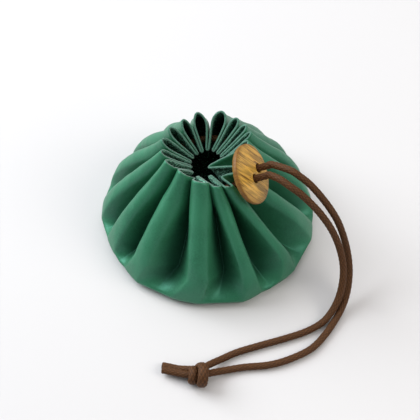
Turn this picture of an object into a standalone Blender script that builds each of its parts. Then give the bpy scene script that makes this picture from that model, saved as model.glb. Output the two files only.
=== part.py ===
"""Drawstring pouch: one leather disc gathered on one round cord, with a wooden stopper button.

Units are metres, +Z is up, the pouch stands on z = 0 and its front faces -Y.
An azimuth is an angle in degrees from the front, growing towards +X.
"""

import math
from collections import namedtuple

import bmesh
import bpy
import numpy as np
from mathutils import Matrix, Vector

MM = 0.001

# Leather disc once it is gathered
LEATHER_THICKNESS = 1.0 * MM
BASE_RADIUS = 51.2 * MM
BASE_FLAT_INSET = 4.5 * MM
CORNER_HEIGHT = 5.0 * MM
CORNER_LIP_HEIGHT = 1.4 * MM
CORNER_LIP_INSET = 1.2 * MM
RIM_RADIUS = 21.0 * MM
RIM_HEIGHT = 59.0 * MM
FOLD_RADIUS = 7.3 * MM
FOLD_HEIGHT = 46.5 * MM
FOLD_GAP = 0.24 * MM
FOLD_NOSE = 0.5 * MM
RIM_LOOP_RATIO = 1.25
BASE_LOOP_RATIO = 0.09
BASE_FULLNESS = 0.65
BASE_PULL = 20.0 * MM
NECK_FULLNESS = 0.8 * MM
NECK_FULLNESS_SCALE = 12.2
CREST_BULGE = 4.0 * MM
CREASE_SAG = 3.5 * MM
BULGE_SCALE = 27.0 / 4.0
WALL_NORMAL = (0.87, 0.48)
PLEAT_GAP = 0.4 * MM
WALL_LEVELS = (0.0, 0.14, 0.32, 0.52, 0.70, 0.86, 1.0)
LOOP_ANGLES = (-90, -64, -39, -13, 13, 39, 64, 90)
LEATHER_CREASE_ANGLE = math.radians(50.0)

# Drawcord
CORD_DIAMETER = 3.4 * MM
CORD_HOLE_CLEARANCE = 0.3 * MM
CORD_END_GAP = 0.3 * MM
NECK_RING_RADIUS = 16.6 * MM
NECK_RING_HEIGHT = 46.5 * MM
NECK_RING_SHIFT = Vector((0.3, -1.0, 0.0)) * MM
NECK_RING_START = 97.0
NECK_RING_END = 397.0
NECK_RING_POINTS = 24
NECK_LEAD_NEAR = 1.6 * MM
NECK_LEAD_FAR = 3.5 * MM
NECK_POINT_SPACING = 4.4 * MM
STRAND_POINT_SPACING = 7.5 * MM
CORD_BEVEL_RESOLUTION = 2
ROUTE_STEPS = 24
WELD_DISTANCE = 0.01 * MM

# Wooden button
BUTTON_DIAMETER = 27.5 * MM
BUTTON_THICKNESS = 2.7 * MM
BUTTON_EDGE_ROUND = 0.6 * MM
BUTTON_AZIMUTH = 56.0
BUTTON_STANDOFF = 3.6 * MM
BUTTON_DROP = 3.0 * MM
BUTTON_FACE_AZIMUTH = 80.0
BUTTON_FACE_ELEVATION = 33.0
BUTTON_SEGMENTS = 48
BUTTON_EDGE_SEGMENTS = 2
BUTTON_CREASE_ANGLE = math.radians(35.0)
BUTTON_HOLE_CLEARANCE = 0.3 * MM
BUTTON_HOLE_SEGMENTS = 20
UPPER_HOLE_ACROSS = 5.6 * MM
UPPER_HOLE_UP = -3.2 * MM
LOWER_HOLE_ACROSS = -0.9 * MM
LOWER_HOLE_UP = -2.4 * MM
BUTTON_TRAVEL = 7.0 * MM

# Overhand knot near the cut ends
KNOT_CENTRE = Vector((-4.1, -87.7, 6.3)) * MM
KNOT_LENGTH = 10.0 * MM
KNOT_WIDTH = 12.4 * MM
KNOT_HEIGHT = 12.4 * MM
KNOT_SEGMENTS = 16
KNOT_RINGS = 10

LEATHER_GREEN = (0.030, 0.180, 0.105, 1.0)
LEATHER_ROUGHNESS = 0.5
CORD_BROWN = (0.085, 0.035, 0.018, 1.0)
CORD_ROUGHNESS = 0.75
WOOD_TAN = (0.560, 0.330, 0.100, 1.0)
WOOD_ROUGHNESS = 0.5

Pleat = namedtuple("Pleat", "rim_azimuth rim_shift rim_drop half_width base_azimuth base_shift "
                            "fold_azimuth fold_shift fold_rise")

# One row for each pleat, in order round the pouch, lengths in millimetres. The crest is the outer
# loop that shows at the rim, and the fold is the inner crease between it and the next pleat.
PLEATS = [
    Pleat(11.0, 1.4, 2.0, 2.4, 24.0, 0.5, 20.5, 5.8, 4.0),
    Pleat(24.0, 2.4, 2.6, 2.3, 47.0, 1.0, 36.0, 5.8, 3.0),
    Pleat(50.0, -2.4, 3.0, 3.3, 78.0, 1.0, 10.0, -4.0, 1.0),
    Pleat(100.5, -2.0, 0.8, 2.1, 99.0, 1.0, 100.0, 0.4, 0.0),
    Pleat(111.5, 0.6, 0.2, 2.0, 114.0, 0.5, 119.0, -0.2, 0.0),
    Pleat(124.0, 0.6, 0.2, 2.1, 129.0, 0.5, 138.0, -0.3, 0.0),
    Pleat(139.0, 0.4, 0.0, 2.8, 145.0, 0.5, 158.0, -0.1, 0.0),
    Pleat(161.0, 0.8, 0.0, 4.0, 163.0, 0.0, 180.0, 0.2, 0.0),
    Pleat(194.0, -0.6, 0.0, 4.1, 184.0, 0.0, 201.0, -0.6, 0.0),
    Pleat(216.0, -1.6, 0.0, 3.7, 204.0, 0.0, 224.0, -0.6, 0.0),
    Pleat(239.0, -0.4, 0.0, 3.8, 224.0, 0.5, 247.0, -0.2, 0.0),
    Pleat(260.5, 0.2, 0.0, 3.2, 245.0, 0.8, 270.0, 0.2, 0.0),
    Pleat(279.0, 0.4, 0.0, 2.6, 268.0, 1.0, 291.0, 0.5, 0.0),
    Pleat(296.0, 0.0, 0.0, 2.9, 292.0, -0.6, 313.0, 0.9, 0.0),
    Pleat(322.0, -1.4, 0.0, 4.9, 314.0, -0.4, 338.0, 2.4, 1.5),
    Pleat(350.5, 0.2, 0.2, 4.7, 348.0, -0.8, 366.0, 4.8, 3.5),
]

# Route of each free strand from the button to the knot, in millimetres, as its centreline lies
UPPER_ROUTE = [(36.4, -15.8, 61.2), (40.7, -18.3, 60.0), (45.2, -20.6, 57.2), (49.8, -23.1, 52.6),
               (54.7, -26.0, 46.5), (58.9, -28.2, 39.0), (62.3, -31.0, 30.2), (64.8, -34.6, 21.4),
               (65.9, -38.6, 14.2), (65.6, -43.6, 8.4), (63.9, -49.3, 4.6), (60.4, -56.0, 2.5),
               (54.4, -65.0, 1.75), (47.4, -72.6, 1.75), (37.6, -77.8, 1.75), (28.0, -80.8, 1.75),
               (16.5, -82.0, 1.75), (8.0, -83.8, 2.3), (1.1, -86.3, 4.6)]
LOWER_ROUTE = [(31.8, -19.6, 59.7), (36.2, -23.0, 59.0), (40.6, -25.2, 56.8), (45.2, -27.4, 53.0),
               (50.0, -29.4, 47.5), (54.9, -31.7, 40.2), (58.6, -34.5, 33.0), (61.2, -37.8, 25.5),
               (62.4, -41.4, 19.0), (62.1, -45.7, 12.8), (60.3, -50.6, 7.4), (56.9, -55.6, 3.8),
               (52.2, -60.0, 2.1), (44.6, -64.2, 1.75), (35.1, -67.6, 1.75), (25.4, -70.6, 1.75),
               (13.8, -74.4, 1.75), (6.0, -78.4, 2.3), (0.1, -82.9, 5.3)]
TAIL_FRONT_ROUTE = [(-9.4, -87.7, 3.9), (-12.7, -86.4, 3.3), (-16.7, -85.2, 3.0), (-20.3, -84.4, 2.9)]
TAIL_BACK_ROUTE = [(-8.5, -84.0, 4.2), (-12.7, -82.7, 2.3), (-16.8, -81.5, 1.8), (-20.4, -80.7, 1.75)]


def plan(azimuth, radius, height):
    """Point at an azimuth from the front, a radius and a height."""
    angle = math.radians(azimuth)
    return Vector((radius * math.sin(angle), -radius * math.cos(angle), height))


def clear_scene():
    for obj in list(bpy.data.objects):
        bpy.data.objects.remove(obj, do_unlink=True)


def new_collection(name):
    collection = bpy.data.collections.new(name)
    bpy.context.scene.collection.children.link(collection)
    return collection


def new_material(name, colour, roughness):
    material = bpy.data.materials.new(name)
    material.use_nodes = True
    shader = material.node_tree.nodes["Principled BSDF"]
    shader.inputs["Base Color"].default_value = colour
    shader.inputs["Roughness"].default_value = roughness
    return material


def base_fold(index):
    """Base end of the crease after a pleat, between the straight edge and the arc of two corners."""
    here = PLEATS[index]
    after = PLEATS[(index + 1) % len(PLEATS)]
    turn = (after.base_azimuth - here.base_azimuth) % 360.0
    corner_radius = BASE_RADIUS + 0.5 * (here.base_shift + after.base_shift) * MM
    edge_dip = (1.0 - BASE_FULLNESS) * (1.0 - math.cos(math.radians(turn / 2.0)))
    return plan(here.base_azimuth + turn / 2.0, corner_radius * (1.0 - edge_dip), CORNER_HEIGHT)


def radial(point):
    """Level unit direction from the pouch's axis to a point."""
    return Vector((point.x, point.y, 0.0)).normalized()


def bowed(foot, top, level, bow):
    """Point between a base end and a rim end, on a line bowed outwards and fullest a third of the way up."""
    point = foot.lerp(top, level)
    height = BULGE_SCALE * level * (1.0 - level) ** 2 * bow
    return point + (radial(point) * WALL_NORMAL[0] + Vector((0.0, 0.0, WALL_NORMAL[1]))) * height


def fold_at(index, level):
    """Bottom of the crease after a pleat, from the base corner (0) to the rim (1)."""
    pleat = PLEATS[index]
    top = plan(pleat.fold_azimuth, FOLD_RADIUS + pleat.fold_shift * MM, FOLD_HEIGHT + pleat.fold_rise * MM)
    return bowed(base_fold(index), top, level, -CREASE_SAG)


def crest_at(index, level):
    """Crest line of a pleat, from the base corner (0) to the rim (1)."""
    pleat = PLEATS[index]
    foot = plan(pleat.base_azimuth, BASE_RADIUS + pleat.base_shift * MM, CORNER_HEIGHT)
    top = plan(pleat.rim_azimuth, RIM_RADIUS + pleat.rim_shift * MM, RIM_HEIGHT - pleat.rim_drop * MM)
    return bowed(foot, top, level, CREST_BULGE)


def loop_width_at(index, level):
    """Half width that a pleat's loop would have with nothing beside it."""
    spacing = min((crest_at(index - 1, 0.0) - crest_at(index, 0.0)).length,
                  (crest_at((index + 1) % len(PLEATS), 0.0) - crest_at(index, 0.0)).length)
    fullness = NECK_FULLNESS_SCALE * level ** 4 * (1.0 - level) * NECK_FULLNESS
    return (1.0 - level) * spacing / 4.0 + level * PLEATS[index].half_width * MM + fullness


def folding_direction(tip, root, level):
    """Level direction in which a fold stands out, which turns radial towards the base."""
    direction = tip - root + radial(tip) * BASE_PULL * (1.0 - level) ** 2
    return Vector((direction.x, direction.y, 0.0)).normalized()


def crease_distance(point, index, level):
    """Level distance of a point from the crease plane after a pleat, positive before the plane."""
    after = (index + 1) % len(PLEATS)
    fold = fold_at(index, level)
    share = loop_width_at(index, level) / (loop_width_at(index, level) + loop_width_at(after, level))
    middle = crest_at(index, level).lerp(crest_at(after, level), share)
    run = folding_direction(middle, fold, level)
    return (point.x - fold.x) * run.y - (point.y - fold.y) * run.x


def pleat_section(index, level):
    """Outer face of one pleat at one level: crease, two straight walls and a half-round loop."""
    fold_before = fold_at(index - 1, level)
    fold_after = fold_at(index, level)
    crest = crest_at(index, level)
    root = (fold_before + fold_after) / 2.0
    outward = folding_direction(crest, root, level)
    across = Vector((-outward.y, outward.x, 0.0))
    width = loop_width_at(index, level)
    loop_length = width * ((1.0 - level) * BASE_LOOP_RATIO + level * RIM_LOOP_RATIO)
    slope = (root.z - crest.z) / (crest - root).dot(outward)
    centre = crest - outward * loop_length
    width_before = min(width, -crease_distance(centre, index - 1, level) - PLEAT_GAP / 2.0)
    width_after = min(width, crease_distance(centre, index, level) - PLEAT_GAP / 2.0)
    loop = []
    for angle in LOOP_ANGLES:
        turn = math.radians(angle)
        side = width_before if angle < 0 else width_after
        drop = loop_length * (1.0 - math.cos(turn))
        point = crest - outward * drop + across * side * math.sin(turn)
        point.z = crest.z + slope * drop
        loop.append(point)
    gap = across * FOLD_GAP / 2.0 * level
    start = fold_before + (loop[0] - fold_before).normalized() * FOLD_NOSE + gap
    end = fold_after + (loop[-1] - fold_after).normalized() * FOLD_NOSE - gap
    return [fold_before, start, start.lerp(loop[0], 0.5)] + loop + [end.lerp(loop[-1], 0.5), end]


def wall_ring(level):
    ring = []
    for index in range(len(PLEATS)):
        ring.extend(pleat_section(index, level))
    return ring


def inset_ring(ring, inset, height):
    """Copy of a ring moved in towards the pouch's axis and set at one height."""
    result = []
    for point in ring:
        flat = Vector((point.x, point.y, 0.0))
        flat *= 1.0 - inset / flat.length
        result.append(Vector((flat.x, flat.y, height)))
    return result


def leather_mesh():
    """Outer face of the leather as one open surface: flat base, corner and gathered wall."""
    corner = wall_ring(0.0)
    rings = [inset_ring(corner, BASE_FLAT_INSET, 0.0)]
    rings.append(inset_ring(corner, CORNER_LIP_INSET, CORNER_LIP_HEIGHT))
    rings += [wall_ring(level) for level in WALL_LEVELS]
    mesh = bpy.data.meshes.new("pouch_body")
    bm = bmesh.new()
    rows = [[bm.verts.new(point) for point in ring] for ring in rings]
    count = len(rows[0])
    for lower, upper in zip(rows, rows[1:]):
        for i in range(count):
            j = (i + 1) % count
            bm.faces.new((lower[i], lower[j], upper[j], upper[i]))
    bm.faces.new(list(reversed(rows[0])))
    bm.to_mesh(mesh)
    bm.free()
    return mesh


def make_leather(collection, material, cutter):
    """Gathered leather body with a punched hole wherever the neck cord crosses a wall."""
    body = bpy.data.objects.new("pouch_body", leather_mesh())
    collection.objects.link(body)
    body.data.materials.append(material)
    body.data.shade_smooth()
    body.data.set_sharp_from_angle(angle=LEATHER_CREASE_ANGLE)
    solidify = body.modifiers.new("leather_thickness", "SOLIDIFY")
    solidify.thickness = LEATHER_THICKNESS
    solidify.offset = -1.0
    solidify.use_even_offset = False
    punch = body.modifiers.new("punched_holes", "BOOLEAN")
    punch.operation = "DIFFERENCE"
    punch.object = cutter
    return body


def smooth_route(points, spacing):
    """Evenly spaced points along a Catmull-Rom curve through the route's own points."""
    padded = [2 * points[0] - points[1]] + list(points) + [2 * points[-1] - points[-2]]
    dense = []
    for a, b, c, d in zip(padded, padded[1:], padded[2:], padded[3:]):
        for step in range(ROUTE_STEPS):
            t = step / ROUTE_STEPS
            dense.append(0.5 * (2 * b + (c - a) * t + (2 * a - 5 * b + 4 * c - d) * t ** 2
                                + (3 * b - a - 3 * c + d) * t ** 3))
    dense.append(Vector(points[-1]))
    lengths = np.array([(q - p).length for p, q in zip(dense, dense[1:])])
    along = np.concatenate(([0.0], np.cumsum(lengths)))
    count = max(2, round(along[-1] / spacing))
    wanted = np.linspace(0.0, along[-1], count + 1)
    columns = [np.interp(wanted, along, [point[axis] for point in dense]) for axis in range(3)]
    return [Vector(row) for row in zip(*columns)]


def tube(name, points, diameter, collection, material=None):
    """Round cord along its points, with filled caps."""
    curve = bpy.data.curves.new(name, "CURVE")
    curve.dimensions = "3D"
    curve.bevel_depth = diameter / 2.0
    curve.bevel_resolution = CORD_BEVEL_RESOLUTION
    curve.use_fill_caps = True
    spline = curve.splines.new("POLY")
    spline.points.add(len(points) - 1)
    for target, point in zip(spline.points, points):
        target.co = (point.x, point.y, point.z, 1.0)
    obj = bpy.data.objects.new(name, curve)
    collection.objects.link(obj)
    if material:
        curve.materials.append(material)
    return obj


def curve_to_mesh(obj, collection):
    """Closed mesh object made from a curve object, which is removed."""
    bpy.context.view_layer.update()
    evaluated = obj.evaluated_get(bpy.context.evaluated_depsgraph_get())
    mesh = bpy.data.meshes.new_from_object(evaluated)
    bm = bmesh.new()
    bm.from_mesh(mesh)
    bmesh.ops.remove_doubles(bm, verts=bm.verts, dist=WELD_DISTANCE)
    bmesh.ops.recalc_face_normals(bm, faces=bm.faces)
    bm.to_mesh(mesh)
    bm.free()
    result = bpy.data.objects.new(obj.name + "_mesh", mesh)
    result.matrix_world = obj.matrix_world.copy()
    collection.objects.link(result)
    bpy.data.objects.remove(obj, do_unlink=True)
    return result


def button_frame():
    """Button's outward axis, its sideways and upward directions, and its front centre."""
    azimuth = math.radians(BUTTON_FACE_AZIMUTH)
    tilt = math.radians(BUTTON_FACE_ELEVATION)
    axis = Vector((math.sin(azimuth) * math.cos(tilt), -math.cos(azimuth) * math.cos(tilt), math.sin(tilt)))
    across = Vector((0.0, 0.0, 1.0)).cross(axis).normalized()
    up = axis.cross(across)
    centre = plan(BUTTON_AZIMUTH, RIM_RADIUS + BUTTON_STANDOFF, RIM_HEIGHT - BUTTON_DROP)
    return axis, across, up, centre


def hole_centres():
    """Front centres of the upper and the lower hole."""
    _, across, up, centre = button_frame()
    upper = centre + across * UPPER_HOLE_ACROSS + up * UPPER_HOLE_UP
    lower = centre + across * LOWER_HOLE_ACROSS + up * LOWER_HOLE_UP
    return upper, lower


def neck_route():
    """Centreline of the held cord: in from the upper hole, round the neck, out to the lower hole."""
    axis = button_frame()[0]
    upper, lower = hole_centres()
    back = BUTTON_THICKNESS + 2.0 * CORD_END_GAP
    ring = []
    for azimuth in np.linspace(NECK_RING_START, NECK_RING_END, NECK_RING_POINTS):
        ring.append(plan(azimuth, NECK_RING_RADIUS, NECK_RING_HEIGHT) + NECK_RING_SHIFT)
    leads = (back, back + NECK_LEAD_NEAR, back + NECK_LEAD_FAR)
    lead_in = [upper - axis * distance for distance in leads]
    lead_out = [lower - axis * distance for distance in reversed(leads)]
    return lead_in + ring + lead_out


def strand_points(hole, route):
    """Free strand: straight through the button for its travel, then along its own points."""
    axis = button_frame()[0]
    back = hole - axis * (BUTTON_THICKNESS + 0.5 * CORD_END_GAP)
    front = hole + axis * (BUTTON_TRAVEL + CORD_END_GAP)
    free = [Vector(point) * MM for point in route]
    return [back, back.lerp(front, 0.5)] + smooth_route([front] + free, STRAND_POINT_SPACING)


def make_button(collection, cutters, material):
    """Round wooden disc with two cord holes, its origin on the line it slides along."""
    axis, across, up, centre = button_frame()
    middle = centre - axis * BUTTON_THICKNESS / 2.0
    turn = axis.to_track_quat("Z", "Y").to_matrix().to_4x4()
    bpy.ops.mesh.primitive_cylinder_add(vertices=BUTTON_SEGMENTS, radius=BUTTON_DIAMETER / 2.0,
                                        depth=BUTTON_THICKNESS)
    button = bpy.context.object
    button.name = "wood_button"
    button.data.name = "wood_button"
    button.matrix_world = Matrix.Translation(middle) @ turn
    for other in list(button.users_collection):
        other.objects.unlink(button)
    collection.objects.link(button)
    button.data.materials.append(material)
    bevel = button.modifiers.new("rounded_edge", "BEVEL")
    bevel.width = BUTTON_EDGE_ROUND
    bevel.segments = BUTTON_EDGE_SEGMENTS
    bevel.limit_method = "ANGLE"
    bevel.angle_limit = BUTTON_CREASE_ANGLE
    for name, hole in zip(("upper_hole_cutter", "lower_hole_cutter"), hole_centres()):
        bpy.ops.mesh.primitive_cylinder_add(vertices=BUTTON_HOLE_SEGMENTS, depth=3.0 * BUTTON_THICKNESS,
                                            radius=CORD_DIAMETER / 2.0 + BUTTON_HOLE_CLEARANCE)
        cutter = bpy.context.object
        cutter.name = name
        cutter.matrix_world = Matrix.Translation(hole - axis * BUTTON_THICKNESS / 2.0) @ turn
        hide_cutter(cutter, cutters)
        drill = button.modifiers.new(name, "BOOLEAN")
        drill.operation = "DIFFERENCE"
        drill.object = cutter
    button.data.shade_smooth()
    button.data.set_sharp_from_angle(angle=BUTTON_CREASE_ANGLE)
    return button


def hide_cutter(cutter, cutters):
    for other in list(cutter.users_collection):
        other.objects.unlink(cutter)
    cutters.objects.link(cutter)
    cutter.hide_render = True
    cutter.display_type = "WIRE"


def make_knot(collection, material):
    """Outer shape of the overhand knot tied in both strands."""
    mesh = bpy.data.meshes.new("cord_knot")
    bm = bmesh.new()
    bmesh.ops.create_uvsphere(bm, u_segments=KNOT_SEGMENTS, v_segments=KNOT_RINGS, radius=0.5)
    bmesh.ops.scale(bm, vec=(KNOT_LENGTH, KNOT_WIDTH, KNOT_HEIGHT), verts=bm.verts)
    bmesh.ops.translate(bm, vec=KNOT_CENTRE, verts=bm.verts)
    bm.to_mesh(mesh)
    bm.free()
    mesh.shade_smooth()
    mesh.materials.append(material)
    knot = bpy.data.objects.new("cord_knot", mesh)
    collection.objects.link(knot)
    return knot


def main():
    clear_scene()
    parts = new_collection("drawstring_pouch")
    cutters = new_collection("cutters")
    leather = new_material("green_leather", LEATHER_GREEN, LEATHER_ROUGHNESS)
    cord = new_material("brown_cord", CORD_BROWN, CORD_ROUGHNESS)
    wood = new_material("light_wood", WOOD_TAN, WOOD_ROUGHNESS)

    neck = smooth_route(neck_route(), NECK_POINT_SPACING)
    tube("cord_neck", neck, CORD_DIAMETER, parts, cord)
    punch_diameter = CORD_DIAMETER + 2.0 * CORD_HOLE_CLEARANCE
    punch = curve_to_mesh(tube("neck_punch", neck, punch_diameter, cutters), cutters)
    hide_cutter(punch, cutters)
    make_leather(parts, leather, punch)

    upper, lower = hole_centres()
    tube("cord_strand_upper", strand_points(upper, UPPER_ROUTE), CORD_DIAMETER, parts, cord)
    tube("cord_strand_lower", strand_points(lower, LOWER_ROUTE), CORD_DIAMETER, parts, cord)
    make_knot(parts, cord)
    for name, route in (("cord_tail_front", TAIL_FRONT_ROUTE), ("cord_tail_back", TAIL_BACK_ROUTE)):
        points = smooth_route([Vector(point) * MM for point in route], CORD_DIAMETER)
        tube(name, points, CORD_DIAMETER, parts, cord)
    make_button(parts, cutters, wood)


main()
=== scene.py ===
"""Looks of a small drawstring pouch: gathered green leather, brown cord and a wooden stopper button.

Everything is in metres, +Z is up, the pouch stands on z = 0 and its front faces -Y.
An azimuth is an angle in degrees from the front, growing towards +X.
"""

import math

import bmesh
import bpy
import numpy as np
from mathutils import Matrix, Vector


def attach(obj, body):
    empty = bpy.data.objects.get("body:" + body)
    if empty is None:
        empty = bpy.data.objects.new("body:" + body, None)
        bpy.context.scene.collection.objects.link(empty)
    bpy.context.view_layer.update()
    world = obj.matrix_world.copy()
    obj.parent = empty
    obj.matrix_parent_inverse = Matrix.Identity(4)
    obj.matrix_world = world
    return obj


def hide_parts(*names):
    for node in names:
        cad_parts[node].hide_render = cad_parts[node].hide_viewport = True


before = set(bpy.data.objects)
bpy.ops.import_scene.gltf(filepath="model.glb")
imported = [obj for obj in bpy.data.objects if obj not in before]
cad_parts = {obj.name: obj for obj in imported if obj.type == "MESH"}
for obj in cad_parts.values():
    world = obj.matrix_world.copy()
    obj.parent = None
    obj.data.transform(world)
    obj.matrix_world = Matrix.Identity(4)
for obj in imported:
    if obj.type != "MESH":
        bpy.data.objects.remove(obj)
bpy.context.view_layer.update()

MM = 0.001

bl_info = {
    "name": "Drawstring Pouch",
    "version": (1, 0, 0),
    "blender": (4, 5, 0),
    "location": "View3D > Sidebar > Pouch",
    "description": "Gathered leather pouch with a round cord, a wooden stopper button and a knot",
    "category": "Add Mesh",
}

# One row for each pleat, in order round the pouch: azimuth, radius shift and drop of its crest at the
# rim, half width of its loop, azimuth and radius shift of its foot, then azimuth, radius shift and
# rise of the inner crease after it. Degrees and millimetres.
PLEATS = np.array([
    (11.0, 1.4, 2.0, 2.4, 24.0, 0.5, 20.5, 5.8, 4.0),
    (24.0, 2.4, 2.6, 2.3, 47.0, 1.0, 36.0, 5.8, 3.0),
    (50.0, -2.4, 3.0, 3.3, 78.0, 1.0, 10.0, -4.0, 1.0),
    (100.5, -2.0, 0.8, 2.1, 99.0, 1.0, 100.0, 0.4, 0.0),
    (111.5, 0.6, 0.2, 2.0, 114.0, 0.5, 119.0, -0.2, 0.0),
    (124.0, 0.6, 0.2, 2.1, 129.0, 0.5, 138.0, -0.3, 0.0),
    (139.0, 0.4, 0.0, 2.8, 145.0, 0.5, 158.0, -0.1, 0.0),
    (161.0, 0.8, 0.0, 4.0, 163.0, 0.0, 180.0, 0.2, 0.0),
    (194.0, -0.6, 0.0, 4.1, 184.0, 0.0, 201.0, -0.6, 0.0),
    (216.0, -1.6, 0.0, 3.7, 204.0, 0.0, 224.0, -0.6, 0.0),
    (239.0, -0.4, 0.0, 3.8, 224.0, 0.5, 247.0, -0.2, 0.0),
    (260.5, 0.2, 0.0, 3.2, 245.0, 0.8, 270.0, 0.2, 0.0),
    (279.0, 0.4, 0.0, 2.6, 268.0, 1.0, 291.0, 0.5, 0.0),
    (296.0, 0.0, 0.0, 2.9, 292.0, -0.6, 313.0, 0.9, 0.0),
    (322.0, -1.4, 0.0, 4.9, 314.0, -0.4, 338.0, 2.4, 1.5),
    (350.5, 0.2, 0.2, 4.7, 348.0, -0.8, 366.0, 4.8, 3.5),
])
# How each pleat's leather is drawn in beyond that: turn of its foot, half width low down, share of the
# way to the next foot at which the crease after it lands, then at the rim the crease's change of
# azimuth, radius and height, and the share of the loop's depth that is left there.
DRAPE = np.array([
    (1.2, 2.8, 0.42, -16.5, 0.9, 4.5, 0.60),
    (4.0, 2.1, 0.42, -10.0, 2.0, 4.0, 0.60),
    (-1.0, 4.4, 0.50, 0.0, 0.0, 0.0, 1.0),
    (0.0, 3.6, 0.50, 0.0, 0.0, 0.0, 1.0),
    (0.0, 3.2, 0.50, 0.0, 0.0, 0.0, 1.0),
    (0.0, 3.4, 0.50, 0.0, 0.0, 0.0, 1.0),
    (0.0, 4.2, 0.50, 0.0, 0.0, 0.0, 1.0),
    (0.0, 4.5, 0.50, 0.0, 0.0, 0.0, 1.0),
    (0.0, 4.6, 0.50, 0.0, 0.0, 0.0, 1.0),
    (0.0, 4.4, 0.50, 0.0, 0.0, 0.0, 1.0),
    (0.0, 4.4, 0.50, 0.0, 0.0, 0.0, 1.0),
    (0.0, 4.2, 0.50, 0.0, 0.0, 0.0, 1.0),
    (0.5, 4.2, 0.52, 0.0, 0.0, 0.0, 1.0),
    (1.0, 4.4, 0.56, 0.0, 1.0, 1.0, 0.9),
    (4.0, 4.8, 0.70, -2.0, 5.0, 4.5, 0.70),
    (7.5, 4.3, 0.66, -24.0, 2.6, 4.5, 0.50),
])
LOOSE_PLEAT = 2  # row of the wide loose pleat behind the button
LOOP_ANGLES = np.radians([-90.0, -64.0, -39.0, -13.0, 13.0, 39.0, 64.0, 90.0])
WALL_NORMAL = (0.87, 0.48)  # outward and upward parts of the normal of the wall's slope
FOOT_HEIGHT = 5.0 * MM  # top of the rounded corner above the base
CORNER_INSET = 4.5 * MM
SIDE_SAG = 0.35  # how far the base is flattened between two feet, as a share of a full chord
NECK_RADIUS = 7.3 * MM  # circle and height of the creases' tops
NECK_HEIGHT = 46.5 * MM
CREASE_PINCH = 2.2 * MM  # deepest low down, at the level below
PINCH_LEVEL = 0.12
LOOSE_SLUMP = 4.5 * MM  # how far the crease after the loose pleat hangs forward under the rim
FOLD_GAP = 0.24 * MM
FOLD_NOSE = 0.5 * MM
PLEAT_GAP = 0.4 * MM
CORD_STEP = 0.30 * MM
CORD_RING_RADIUS = 16.6 * MM

# Points that the cord's centreline follows, in millimetres
UPPER_ROUTE = [(36.4, -15.8, 61.2), (40.7, -18.3, 60.0), (45.2, -20.6, 57.2), (49.8, -23.1, 52.6),
               (54.7, -26.0, 46.5), (58.9, -28.2, 39.0), (62.3, -31.0, 30.2), (64.8, -34.6, 21.4),
               (65.9, -38.6, 14.2), (65.6, -43.6, 8.4), (63.9, -49.3, 4.6), (60.4, -56.0, 2.5),
               (54.4, -65.0, 1.75), (47.4, -72.6, 1.75), (37.6, -77.8, 1.75), (28.0, -80.8, 1.75),
               (16.5, -82.0, 1.75), (8.0, -83.8, 2.3), (1.1, -86.3, 4.6), (-2.6, -88.0, 5.8)]
LOWER_ROUTE = [(31.8, -19.6, 59.7), (36.2, -23.0, 59.0), (40.6, -25.2, 56.8), (45.2, -27.4, 53.0),
               (50.0, -29.4, 47.5), (54.9, -31.7, 40.2), (58.6, -34.5, 33.0), (61.2, -37.8, 25.5),
               (62.4, -41.4, 19.0), (62.1, -45.7, 12.8), (60.3, -50.6, 7.4), (56.9, -55.6, 3.8),
               (52.2, -60.0, 2.1), (44.6, -64.2, 1.75), (35.1, -67.6, 1.75), (25.4, -70.6, 1.75),
               (13.8, -74.4, 1.75), (6.0, -78.4, 2.3), (0.1, -82.9, 5.3), (-3.2, -86.0, 6.2)]
TAIL_FRONT_ROUTE = [(-4.5, -86.9, 4.6), (-9.4, -86.6, 4.0), (-12.7, -85.8, 3.6), (-16.7, -84.8, 3.4),
                    (-20.3, -84.0, 3.3)]
TAIL_BACK_ROUTE = [(-4.5, -84.6, 5.0), (-8.5, -84.0, 3.8), (-12.7, -83.0, 2.2), (-16.8, -81.9, 1.8),
                   (-20.4, -81.1, 1.75)]


class PouchLeatherSettings(bpy.types.PropertyGroup):
    thickness: bpy.props.FloatProperty(
        name="Thickness", description="Thickness of the leather", default=0.85 * MM,
        min=0.4 * MM, max=1.6 * MM, unit="LENGTH")
    base_radius: bpy.props.FloatProperty(
        name="Base radius", description="Radius of the pouch at the corner above its flat base",
        default=51.2 * MM, min=0.0, unit="LENGTH")
    rim_radius: bpy.props.FloatProperty(
        name="Rim radius", description="Radius of the ring of pleat tips at the rim", default=21.0 * MM,
        min=0.0, unit="LENGTH")
    rim_height: bpy.props.FloatProperty(
        name="Rim height", description="Height of the pleat tips over the floor", default=59.0 * MM,
        min=0.0, unit="LENGTH")
    crest_bulge: bpy.props.FloatProperty(
        name="Crest bulge", description="How far the pleat crests bow out", default=4.0 * MM,
        min=0.0, unit="LENGTH")
    crease_sag: bpy.props.FloatProperty(
        name="Crease sag", description="How far the inner creases bow in", default=5.0 * MM,
        min=0.0, unit="LENGTH")
    green: bpy.props.FloatVectorProperty(
        name="Green", description="Colour of the smooth outer face", default=(0.024, 0.130, 0.065),
        min=0.0, max=1.0, size=3, subtype="COLOR")
    suede: bpy.props.FloatVectorProperty(
        name="Suede", description="Colour of the flesh side", default=(0.120, 0.280, 0.210),
        min=0.0, max=1.0, size=3, subtype="COLOR")
    edge: bpy.props.FloatVectorProperty(
        name="Cut edge", description="Colour of the pale cut edge", default=(0.110, 0.290, 0.210),
        min=0.0, max=1.0, size=3, subtype="COLOR")


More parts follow.
